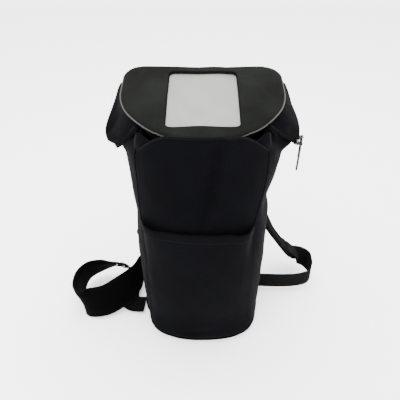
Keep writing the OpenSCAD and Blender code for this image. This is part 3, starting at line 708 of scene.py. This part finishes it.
def lid_outline(inset, n=240, u0=2.0):
    """Lid edge in (x, u), from the middle of the back clockwise, drawn in by an inset."""
    a, b, r = LID_A - inset, LID_B - inset, LID_R
    c = np.radians(np.linspace(90, 0, 30))
    cr = np.stack([a - r + r * np.cos(c), (u0 + inset * 0.5) + r - r * np.sin(c)], 1)
    f = np.radians(np.linspace(0, -180, 260))
    fr = np.stack([a * np.cos(f), LID_S - b * np.sin(f)], 1)
    cl = np.stack([-cr[::-1, 0], cr[::-1, 1]], 1)
    p = np.concatenate([[[0, u0 + inset * 0.5]], cr, fr, cl, [[0, u0 + inset * 0.5]]])
    d = np.concatenate([[0], np.cumsum(np.linalg.norm(np.diff(p, axis=0), axis=1))])
    t = np.linspace(0, d[-1], n, endpoint=False)
    return np.stack([np.interp(t, d, p[:, i]) for i in (0, 1)], 1)


def lid_h(x, u):
    """Softness of the lid's top: a low crown, a sagging back edge and faint ripples."""
    h = 1.2 * np.cos(np.clip(x / 128, -1, 1) * np.pi / 2) * np.sin(np.clip(u / 160, 0, 1) * np.pi)
    h = h - 1.2 * bump_at(u, 0, 16) * bump_at(x, 12, 52) - 3.0 * smoothstep(u, 110, 158)
    h = h + 0.7 * np.sin(x * 0.06 + u * 0.05 + 0.7) + 0.5 * np.sin(x * 0.1 - u * 0.075)
    # a pressed fold either side of the window and slack puckers out towards the piping
    h = h + 0.9 * bump_at(x, -61, 1.6) + 0.9 * bump_at(x, 63, 1.6)
    h = h + 0.8 * bump_at(x + 0.35 * u, -78, 5) * bump_at(u, 30, 22)
    h = h - 0.8 * bump_at(x - 0.5 * u, 62, 5) * bump_at(u, 62, 24)
    return h


WINDOW_W, WINDOW_L, WINDOW_U, WINDOW_R = 102.0, 120.0, 16.0, 8.0


def window_outline(grow, n=240):
    """Edge of the window in (x, u), grown by some mm."""
    w, l, r = WINDOW_W / 2 + grow, WINDOW_L + 2 * grow, WINDOW_R + grow
    u0 = WINDOW_U - grow
    pts = [[0, u0]]
    for cx, cu, a0, a1 in ((w - r, u0 + r, 90, 0), (w - r, u0 + l - r, 0, -90),
                           (-w + r, u0 + l - r, -90, -180), (-w + r, u0 + r, 180, 90)):
        for a in np.radians(np.linspace(a0, a1, 14)):
            pts.append([cx + r * math.cos(a), cu - r * math.sin(a)])
    pts.append([0, u0])
    p = np.array(pts)
    # hand-cut edges wander a little
    p[:, 0] += 0.5 * np.sin(p[:, 1] * 0.07 + 0.5)
    p[:, 1] += 0.7 * np.sin(p[:, 0] * 0.06 + 1.2)
    d = np.concatenate([[0], np.cumsum(np.linalg.norm(np.diff(p, axis=0), axis=1))])
    t = np.linspace(0, d[-1], n, endpoint=False)
    return np.stack([np.interp(t, d, p[:, i]) for i in (0, 1)], 1)


outer, inner = lid_outline(3.4), window_outline(0.0)
P = []
for t in np.concatenate([[0, 0.02, 0.06], np.linspace(0.12, 0.9, 14), [0.96, 1.0]]):
    q = outer + (inner - outer) * t
    h = lid_h(q[:, 0], q[:, 1]) - 1.6 * (1 - smoothstep(t, 0, 0.08))
    P.append(lid_pt(q[:, 0], q[:, 1], h))
P = np.array(P)
lid = sheet("lid_cloth", P, 3.4, M_LID_TOPLIT, "lid", wrap=True, side=1)
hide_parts("lid_top")

# window sheet, set just under the turned edge of the cloth
gx = np.linspace(-WINDOW_W / 2 - 2.0, WINDOW_W / 2 + 2.0, 40)
gu = np.linspace(WINDOW_U - 2.0, WINDOW_U + WINDOW_L + 2.0, 44)
GX, GU = np.meshgrid(gx, gu)
GH = lid_h(GX, GU) - 1.5 + 0.35 * np.sin(GX * 0.09 + 0.4) * np.sin(GU * 0.05)
M_WINDOW = plastic("window_vinyl", (0.125, 0.13, 0.120), rough=0.4, grain=0.00003, scale=500,
                   spec=0.3, coat=0.05, vary=0.04)
window = sheet("window_sheet", lid_pt(GX, GU, GH), 0.8, M_WINDOW, "lid", side=-1)
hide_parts("lid_window")
q = window_outline(-0.2, 300)
path = lid_pt(q[:, 0], q[:, 1], lid_h(q[:, 0], q[:, 1]) - 0.2)
tube("window_turned_edge", path - np.array([0, 0, 0.3]), 0.8, M_LID_TOPLIT, "lid", 8, closed=True)
q = window_outline(4.2, 300)
sew = [lid_pt(q[:, 0], q[:, 1], lid_h(q[:, 0], q[:, 1]) + 0.15)]
for x in (-58.5, 60.0):
    u = np.linspace(6, 136, 60)
    sew.append(lid_pt(np.full_like(u, x), u, lid_h(x, u) + 0.15))
stitches("lid_stitch", sew, "lid", r=0.3)

# piping all round the curved edge, with the sunk seam beside it
q = lid_outline(1.7, 400)
keep = np.array([p for p in q if p[1] > 4.5 or abs(p[0]) > 92])
path = lid_pt(keep[:, 0], keep[:, 1], lid_h(keep[:, 0], keep[:, 1]) - 1.3)
pipe = tube("lid_edge_piping", path, 1.25, M_PIPE, "lid", 12)
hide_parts("lid_piping")
q = lid_outline(5.2, 360)
keep = np.array([p for p in q if p[1] > 7])
stitches("lid_edge_stitch", [lid_pt(keep[:, 0], keep[:, 1], lid_h(keep[:, 0], keep[:, 1]) - 0.6)],
         "lid", r=0.3)
# underside seam allowance of the piping
path = lid_pt(keep[:, 0], keep[:, 1], lid_h(keep[:, 0], keep[:, 1]) - 4.2)
tube("lid_under_binding", path, 1.5, M_BIND, "lid", 8)

# turned tape along the lid's straight back edge, coloured lighter than the lid cloth as a painted highlight
# where the edge catches the light
x = np.linspace(-92, 94, 90)
path = lid_pt(x, np.full_like(x, 1.6), lid_h(x, 1.6) + 0.2)
tube("lid_back_tape", path, 1.15, M_EDGE_HIGHLIGHT, "lid", 8)

# lining under the lid
P = []
lin_o, lin_i = lid_outline(5.5), window_outline(3.0)
for t in (0, 0.25, 0.5, 0.75, 1.0):
    q = lin_o + (lin_i - lin_o) * t
    P.append(lid_pt(q[:, 0], q[:, 1], lid_h(q[:, 0], q[:, 1]) - 4.0 - 0.6 * math.sin(math.pi * t)))
sheet("lid_lining", np.array(P), 0.6, M_LINING, "lid", wrap=True, side=1, sub=0)

# cloth hinge from the back panel's top over to the lid
hx = np.linspace(-111, 111, 60)
prof = np.array([[83.0, 410], [83.4, 424], [83.6, 434], [83.2, 441], [81.4, 445.4], [77.5, 446.0],
                 [72, 443.6], [66.5, 441.2]])
sag = 2.0 * bump_at(hx, 12, 52) + 9.0 * smoothstep(np.abs(hx), 92, 111)
P = np.array([np.stack([hx, np.full_like(hx, y), z - sag * smoothstep(z, 425, 440)], -1)
              for y, z in prof])
hinge = sheet("lid_hinge_cloth", P, 1.2, M_LID_TOPLIT, None, side=-1)
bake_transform(hinge)


# ---------------------------------------------------------------- skirt of the lid
def wing(name, sx, hem_pts, puff):
    """One side of the skirt, from under the lid's edge down to its own hem, with its corner puffed."""
    o = lid_outline(2.6, 600)
    sel = o[(o[:, 0] > 0) & (o[:, 1] > 12) & (o[:, 1] < 131)]
    topline = resample(lid_pt(sel[:, 0], sel[:, 1], -3.0 - 3.0 * smoothstep(sel[:, 1], 110, 158)), 2.6)
    n = 72
    topline = topline[np.linspace(0, len(topline) - 1, n).round().astype(int)]
    hemline = smooth_path(hem_pts, 14)
    d = np.concatenate([[0], np.cumsum(np.linalg.norm(np.diff(hemline, axis=0), axis=1))])
    t = np.linspace(0, d[-1], n)
    hemline = np.stack([np.interp(t, d, hemline[:, i]) for i in range(3)], 1)
    rows = []
    e = np.linspace(0, 1, n)
    for v in np.linspace(0, 1, 34):
        p = topline * (1 - v) + hemline * v
        out = np.stack([np.interp(e, [0, 0.5, 1], [1, 1, 0.6]),
                        np.interp(e, [0, 0.5, 1], [0.35, -0.2, -0.8]), np.zeros(n)], -1)
        corner = bump_at(e, 0.5, 0.30)
        swellv = (3.6 + puff * corner) * math.sin(math.pi * v ** (2.7 if puff > 10 else 1.4)) ** 0.9
        swellv = swellv * np.sin(np.pi * np.clip(e * 0.97 + 0.03, 0, 1)) ** 0.6
        ripple = 1.3 * np.sin(e * 9 + v * 4 + 0.5 * sx) * math.sin(math.pi * v)
        dent = -3.0 * bump_at(e, 0.62, 0.10) * bump_at(v, 0.72, 0.16)
        p = p + out * (swellv + ripple + dent)[:, None]
        p[:, 2] -= 3.5 * corner * math.sin(math.pi * v) * (puff > 10)
        rows.append(p)
    P = np.array(rows)
    P[..., 0] *= sx
    o = sheet(name, P, 2.0, M_SKIRT, "lid", side=sx)
    hem = P[-1]
    tube(f"{name}_hem_binding", hem + np.array([0, 0, -0.3]), 2.6, M_SKIRT, "lid", 10)
    stitches(f"{name}_hem_stitch", [P[-5] + np.array([sx * 0.4, -0.2, 0.2])], "lid")
    return o, hem


HEM = [(126.5, 70, 421), (131, 57, 410), (136, 40, 392), (141, 27, 371.5), (145.2, 15.8, 351.0),
       (143.6, 12.0, 349.6), (125.5, -6.0, 365.0), (106, -24, 381), (88, -41, 397.5)]
HEM_L = [(126, 70, 421), (130, 57, 411), (134, 40, 390), (137, 24, 362), (134, 14, 346.5),
         (127, 4, 350.5), (115, -10, 364), (102, -25, 380.5), (88, -41, 397.5)]
wing_right, hem_r = wing("skirt_wing_right", 1, HEM, 6.0)
wing_left, hem_l = wing("skirt_wing_left", -1, HEM_L, 12.0)
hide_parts("lid_skirt_right")
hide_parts("lid_skirt_left")

o = lid_outline(4.0, 500)
sel = o[(np.abs(o[:, 0]) < 88) & (o[:, 1] > 120)]
rows = []
for v in np.linspace(0, 1, 9):
    x = sel[:, 0] * (1 - 0.015 * v)
    u = sel[:, 1] - 2.5 * v - 1.5 * math.sin(math.pi * v) * np.sin(sel[:, 0] * 0.11)
    deep = 20.5 - 10.5 * smoothstep(np.abs(sel[:, 0]), 62, 84)
    rows.append(lid_pt(x, u, -3.0 - 3.0 * smoothstep(sel[:, 1], 110, 158) - deep * v))
P = np.array(rows)
tuck = sheet("skirt_front_tuck", P, 1.6, M_BAG, "lid", side=1)
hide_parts("lid_skirt_front")

# zip half on the skirt: tape from the hem down to the coil
bands, coils = [], []
for sx, hem in ((1, hem_r), (-1, hem_l)):
    off = np.array([2.5 * sx, 0, -4.3]) if sx > 0 else np.array([0.6, 0, -5.0])
    track = resample(hem[(hem[:, 2] < 400) & (hem[:, 1] > -41)], 1.4)
    P = np.stack([track + off * k for k in (-0.25, 0.3, 0.7, 1.0)])
    bands.append(shell_mesh(P, 0.7, side=sx))
    coils.append(coil_mesh(track + off))
V, F = join(bands)
lid_zip = obj("skirt_zip_band", V, F, M_TAPE, "lid")
V, F = join(coils)
obj("skirt_zip_coil", V, F, M_COIL, "lid")
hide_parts("lid_zip_tape")


# ---------------------------------------------------------------- straps
def strap_frames(C, D, K=None):
    """Centre line, direction across, normal and width share along a strap."""
    c = smooth_path(C)
    d = smooth_path(D)
    k = smooth_path([[x, 0, 0] for x in (K or [1] * len(C))])[:, 0]
    t = np.gradient(c, axis=0)
    t /= np.linalg.norm(t, axis=1, keepdims=True)
    d = d - t * np.sum(d * t, axis=1, keepdims=True)
    d /= np.linalg.norm(d, axis=1, keepdims=True)
    return c, d, np.cross(t, d), k


def strap_mesh(C, D, w, t, profile, K=None, n=24, cup=0.0):
    """A flat strap w wide and t thick along C, with D across it and K its width share at each point."""
    c, d, nn, k = strap_frames(C, D, K)
    xi = np.cos(np.linspace(0, np.pi, n))
    f = profile(xi)
    ring_x = np.concatenate([xi, xi[::-1]])
    ring_y = np.concatenate([f, -f[::-1]])
    V = (c[:, None] + d[:, None] * (ring_x[None, :, None] * (w / 2 * k)[:, None, None])
         + nn[:, None] * (ring_y * t / 2 + cup * (ring_x ** 2 - 0.4))[None, :, None])
    m, r = V.shape[:2]
    F = []
    for i in range(m - 1):
        for j in range(r):
            F.append((i * r + j, i * r + (j + 1) % r, (i + 1) * r + (j + 1) % r, (i + 1) * r + j))
    F.append(tuple(range(r))[::-1])
    F.append(tuple((m - 1) * r + j for j in range(r)))
    return V.reshape(-1, 3), F, (c, d, nn, k)


def pad_profile(xi):
    """Half thickness across a padded strap: full in the middle, pressed in by the stitching."""
    a = np.abs(xi)
    f = 0.26 + 0.74 * (1 - a ** 4)
    return f - 0.42 * bump_at(a, 0.80, 0.05) * (a < 0.95)


def web_profile(xi):
    """Half thickness across webbing: flat, with round edges and a faint groove inside each."""
    a = np.abs(xi)
    return np.sqrt(np.clip(1 - a ** 10, 0, 1)) * (1 - 0.12 * bump_at(a, 0.80, 0.04))


PAD_WIDTH = 57


def shoulder(name, C, D, K, node_name):
    """Padded strap with a bound edge and a line of stitches inside it on both faces."""
    V, F, (c, d, nn, k) = strap_mesh(C, D, PAD_WIDTH, 8.0, pad_profile, K, cup=0.8)
    o = obj(name, V, F, M_PAD, "bag")
    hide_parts(node_name)
    parts = []
    for sgn in (-1, 1):
        e = c + d * (sgn * (PAD_WIDTH / 2 * k - 0.4))[:, None]
        parts.append(tube_mesh(e, 1.7, 8))
    V, F = join(parts)
    obj(f"{name}_binding", V, F, M_BIND, "bag")
    lines = []
    for sgn in (-1, 1):
        for f in (-1, 1):
            lines.append(c + d * (sgn * 22.8 * k)[:, None] + nn * (f * 2.1 + 0.8 * 0.24))
    stitches(f"{name}_stitch", lines, "bag")


def webbing(name, C, D, w=38, t=1.7):
    V, F = strap_mesh(C, D, w, t, web_profile, n=20)[:2]
    return obj(name, V, F, M_WEB, "bag")


LEFT_PAD = [[-46, 90, 404], [-52, 95, 340], [-64, 99, 250], [-84, 101, 170], [-104, 100, 112],
            [-118, 84, 76], [-125, 52, 56], [-134, 22, 46], [-154, -4, 41], [-182, -22, 32],
            [-208, -29, 30], [-229, -25, 29], [-243, -8, 32], [-247, 20, 38], [-236, 46, 41],
            [-210, 62, 40], [-186, 66, 40]]
LEFT_PAD_ACROSS = [[1, 0, 0], [1, 0, 0], [1, 0, 0.2], [1, 0, 0.4], [0.8, 0.2, 0.6], [0.35, 0.35, 0.85],
                   [0.1, 0.42, 0.9], [0, 0.45, 0.88], [-0.1, 0.5, 0.86], [-0.3, 0.5, 0.8],
                   [-0.48, 0.42, 0.77], [-0.62, 0.4, 0.67], [-0.35, 0.2, 0.9], [-0.1, 0, 1], [0.1, -0.2, 1],
                   [0.1, -0.4, 0.9], [0, -0.65, 0.75]]
LEFT_PAD_SHARE = [0.95, 1, 1, 1, 1, 1, 1, 1, 1, 1, 1, 1, 1, 1, 1, 0.9, 0.68]
LEFT_WEB = [[-159.5, 65, 36.5], [-154, 60, 30], [-150, 48, 18], [-149, 32, 9], [-150, 14, 5],
            [-146, -2, 5], [-136, -12, 5.5], [-114.5, -14, 6]]
LEFT_WEB_ACROSS = [[0, -0.65, 0.75], [0.4, -0.55, 0.65], [0.85, -0.3, 0.35], [1, 0, 0], [1, 0, 0],
                   [0.9, 0.4, 0], [0.5, 0.87, 0], [-0.19, 0.98, 0]]
RIGHT_PAD = [[46, 90, 404], [53, 95, 340], [72, 98, 250], [99, 101, 180], [130, 107, 134],
             [150, 101, 102], [172, 98, 72]]
RIGHT_PAD_ACROSS = [[1, 0, 0], [1, 0, 0], [1, 0, -0.3], [0.8, 0.3, -0.6], [0.5, 0.7, -0.4],
                    [0.35, 0.8, -0.35], [0.35, 0.8, -0.3]]
RIGHT_PAD_SHARE = [0.9, 1, 1, 0.95, 0.8, 0.7, 0.62]
RIGHT_WEB = [[196, 94, 48], [206, 97, 44], [219, 95, 38], [231, 85, 31], [236, 66, 25], [226, 48, 21],
             [198, 39, 20], [160, 37, 20], [118.5, 39, 20]]
RIGHT_WEB_ACROSS = [[0.3, 0.8, -0.2], [0.1, 0.8, 0.2], [0, 0.6, 0.6], [0, 0.35, 0.85], [0, 0.15, 1],
                    [0, 0.05, 1], [0, 0, 1], [0, 0, 1], [0, 0, 1]]
shoulder("shoulder_pad_left", LEFT_PAD, LEFT_PAD_ACROSS, LEFT_PAD_SHARE, "shoulder_strap_left")
shoulder("shoulder_pad_right", RIGHT_PAD, RIGHT_PAD_ACROSS, RIGHT_PAD_SHARE, "shoulder_strap_right")


def threaded(side, p, a, u, C, D):
    """The long webbing run through the ladder lock at p, with its tail back underneath, and the
    short tongue that ties the lock to the pad. The lock lies along a and across u."""
    a = np.array(a, float) / np.linalg.norm(a)
    u = np.array(u, float) - a * np.dot(a, u)
    u /= np.linalg.norm(u)
    n = np.cross(u, a)

    def at(points):
        return [list(np.array(p) + a * y + n * z) for y, z in points]

    lead = at([(30, -7.5), (18, -6.4), (8, -5.6), (1, -5.2), (-2.6, -2.6), (-2.6, 0.4),
               (-0.9, 2.95), (1.6, 2.95), (3.9, 0.4), (5.2, -2.4), (9, -3.0)])
    tongue = at([(-25, 1.5), (-17, 1.8), (-11, 2.95), (-7.4, 2.95), (-5.3, 0), (-7.4, -2.95),
                 (-11, -2.95), (-17, -1.8), (-25, -1.5)])
    web = webbing(f"strap_web_{side}", lead + C, [list(u)] * len(lead) + D)
    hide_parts(f"webbing_{side}")
    webbing(f"pad_tongue_{side}", tongue, [list(u)] * len(tongue))


threaded("left", (-171, 66, 38), (1, 0, -0.1), (0, -0.65, 0.75), LEFT_WEB, LEFT_WEB_ACROSS)
threaded("right", (184, 96, 60), (24, -4, -24), (0.35, 0.8, -0.3), RIGHT_WEB, RIGHT_WEB_ACROSS)

# grab handle: a slack bow of webbing behind the lid
HANDLE_PATH = [[-60, 83.6, 421], [-46, 83.9, 421], [-36, 88, 421], [-24, 94, 421], [-8, 96.6, 421],
               [8, 96.6, 421], [24, 94, 421], [36, 88, 421], [46, 83.9, 421], [60, 83.6, 421]]
handle = webbing("handle_web", HANDLE_PATH, [[0, 0, 1]] * 10, w=24, t=2.2)
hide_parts("grab_handle")

# ---------------------------------------------------------------- tabs that hold the lower webbing
tabs = []
for sx, y0, y1, z0, z1 in ((-1, -29, 8, 2.5, 21), (1, 20, 56, 9, 33.5)):
    yy = np.linspace(y0, y1, 22)
    ss = np.array([s_at(sx * 113, v) for v in yy])
    zz = np.linspace(z0, z1, 14)
    P = np.stack([bag_point(ss, np.full_like(ss, z),
                            0.9 + 2.0 * math.sin(math.pi * min(max((z - z0) / (z1 - z0), 0), 1)) ** 0.3)
                  for z in zz])
    tabs.append(shell_mesh(P, 1.0, side=-1))
V, F = join(tabs)
tabs_piece = obj("webbing_tabs", V, F, M_BIND, "bag")
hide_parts("strap_anchors")

# ---------------------------------------------------------------- hard parts keep their CAD shape
M_CASE = plastic("casing_shell", (0.30, 0.305, 0.305), rough=0.42, vary=0.02)
M_CASE_G = plastic("casing_grey", (0.10, 0.106, 0.114), rough=0.45, vary=0.03)
M_DARK = plastic("casing_dark", (0.012, 0.013, 0.014), rough=0.5, spec=0.3)
M_PANEL = plastic("panel_face", (0.085, 0.09, 0.10), rough=0.36, vary=0.03, coat=0.1)
M_LENS = plastic("lens_dark", (0.012, 0.018, 0.022), rough=0.1, coat=0.6, grain=0.00001)
M_KEY = plastic("key_rubber", (0.04, 0.048, 0.06), rough=0.6)
M_GREEN = plastic("key_green", (0.018, 0.11, 0.045), rough=0.55)
M_LATCH = plastic("latch_orange", (0.26, 0.075, 0.008), rough=0.4, vary=0.05)
M_RUB = plastic("rubber_feet", (0.018, 0.018, 0.018), rough=0.75)
M_ALU = plastic("cast_aluminium", (0.55, 0.55, 0.56), rough=0.42, metal=1.0, scale=700, grain=0.0002)
M_COP = plastic("rotor_copper", (0.55, 0.27, 0.12), rough=0.38, metal=1.0)
M_SIL = plastic("silicone_hose", (0.28, 0.295, 0.295), rough=0.45, vary=0.03)
M_PCB = plastic("board_green", (0.02, 0.14, 0.06), rough=0.35, coat=0.3)
M_BOARD = plastic("stiff_board", (0.01, 0.01, 0.011), rough=0.7, spec=0.2)
M_STEEL = plastic("screw_steel", (0.5, 0.5, 0.5), rough=0.3, metal=1.0)
M_FOAM = mesh_foam("filter_foam")
LOOK = {
    M_CASE: ["casing_front"], M_CASE_G: ["casing_rear", "intake_grille"],
    M_DARK: ["battery_pack", "valve_manifold", "fan_rotor"], M_PANEL: ["control_panel"],
    M_LENS: ["display_lens"], M_KEY: ["button_plus", "button_minus", "button_alarm"],
    M_GREEN: ["button_power"], M_LATCH: ["battery_latch"], M_RUB: ["unit_feet"],
    M_ALU: ["compressor_body", "cylinder_heads", "sieve_columns", "product_tank"],
    M_COP: ["motor_rotor"], M_SIL: ["feed_tube", "outlet_tube"], M_PCB: ["circuit_board"],
    M_BOARD: ["bottom_board"], M_STEEL: ["casing_screws"],
    M_BUCKLE: ["ladder_lock_left", "ladder_lock_right", "solenoid_valves", "fan_frame",
               "dc_socket"],
    M_NICKEL: ["zip_slider_front", "zip_slider_rear", "cannula_outlet"],
    M_GUN: ["pull_tab_front", "pull_tab_rear"],
}
for m, names in LOOK.items():
    for n in names:
        ob = nodes[n]
        ob.data.materials.clear()
        ob.data.materials.append(m)
        bev = ob.modifiers.new("edge", "BEVEL")
        bev.width = 0.0003 if n.startswith(("zip", "pull")) else 0.0008
        bev.segments = 2
        bev.limit_method = "ANGLE"
        bev.angle_limit = math.radians(40)

# the intake filter: a slab of open foam with soft edges and a slight crown
f = nodes["intake_filter"]
box = np.array([list(f.matrix_world @ v.co) for v in f.data.vertices]) * 1000
lo, hi = box.min(0), box.max(0)
gy = np.linspace(lo[1] + 0.4, hi[1] - 0.4, 30)
gz = np.linspace(lo[2] + 0.4, hi[2] - 0.4, 36)
GY, GZ = np.meshgrid(gy, gz)
e = np.minimum(np.minimum(GY - gy[0], gy[-1] - GY), np.minimum(GZ - gz[0], gz[-1] - GZ))
half = (hi[0] - lo[0]) / 2 - 0.2
crown = half * (0.55 + 0.45 * np.sqrt(np.clip(1 - (1 - np.clip(e, 0, 3) / 3) ** 2, 0, 1)))
mid_x = (lo[0] + hi[0]) / 2
V, F = shell_mesh(np.stack([mid_x - crown, GY, GZ], -1), 2 * crown, side=-1)
foam = obj("filter_slab", V, F, M_FOAM, "bag")
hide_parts("intake_filter")

# ---------------------------------------------------------------- floor and light
fl = bpy.data.meshes.new("floor")
R = 6.0
fl.from_pydata([(-R, -R, -0.0005), (R, -R, -0.0005), (R, R, -0.0005), (-R, R, -0.0005)], [],
               [(0, 1, 2, 3)])
floor = bpy.data.objects.new("floor", fl)
bpy.context.scene.collection.objects.link(floor)
mf, nt, b = new_mat("floor_pale")
b.inputs["Base Color"].default_value = (0.97, 0.97, 0.97, 1)
b.inputs["Roughness"].default_value = 0.9
fl.materials.append(mf)


def area(name, loc, target, size, watts):
    d = bpy.data.lights.new(name, "AREA")
    d.shape = "RECTANGLE"
    d.size, d.size_y = size
    d.energy = watts
    o = bpy.data.objects.new(name, d)
    bpy.context.scene.collection.objects.link(o)
    o.location = loc
    v = np.array(target) - np.array(loc)
    v = v / np.linalg.norm(v)
    o.rotation_euler = (math.acos(-v[2]), 0, math.atan2(v[0], -v[1]))
    return o


area("key", (-0.6, -0.9, 1.7), (0, 0, 0.3), (1.3, 1.3), 48)
area("top", (0.1, 0.5, 1.9), (0, 0, 0.4), (1.4, 1.0), 50)
area("fill", (1.4, -0.9, 0.8), (0, 0, 0.2), (1.0, 1.0), 12)
w = bpy.data.worlds.new("studio")
w.use_nodes = True
w.node_tree.nodes["Background"].inputs[0].default_value = (1, 1, 1, 1)
w.node_tree.nodes["Background"].inputs[1].default_value = 4.4
bpy.context.scene.world = w
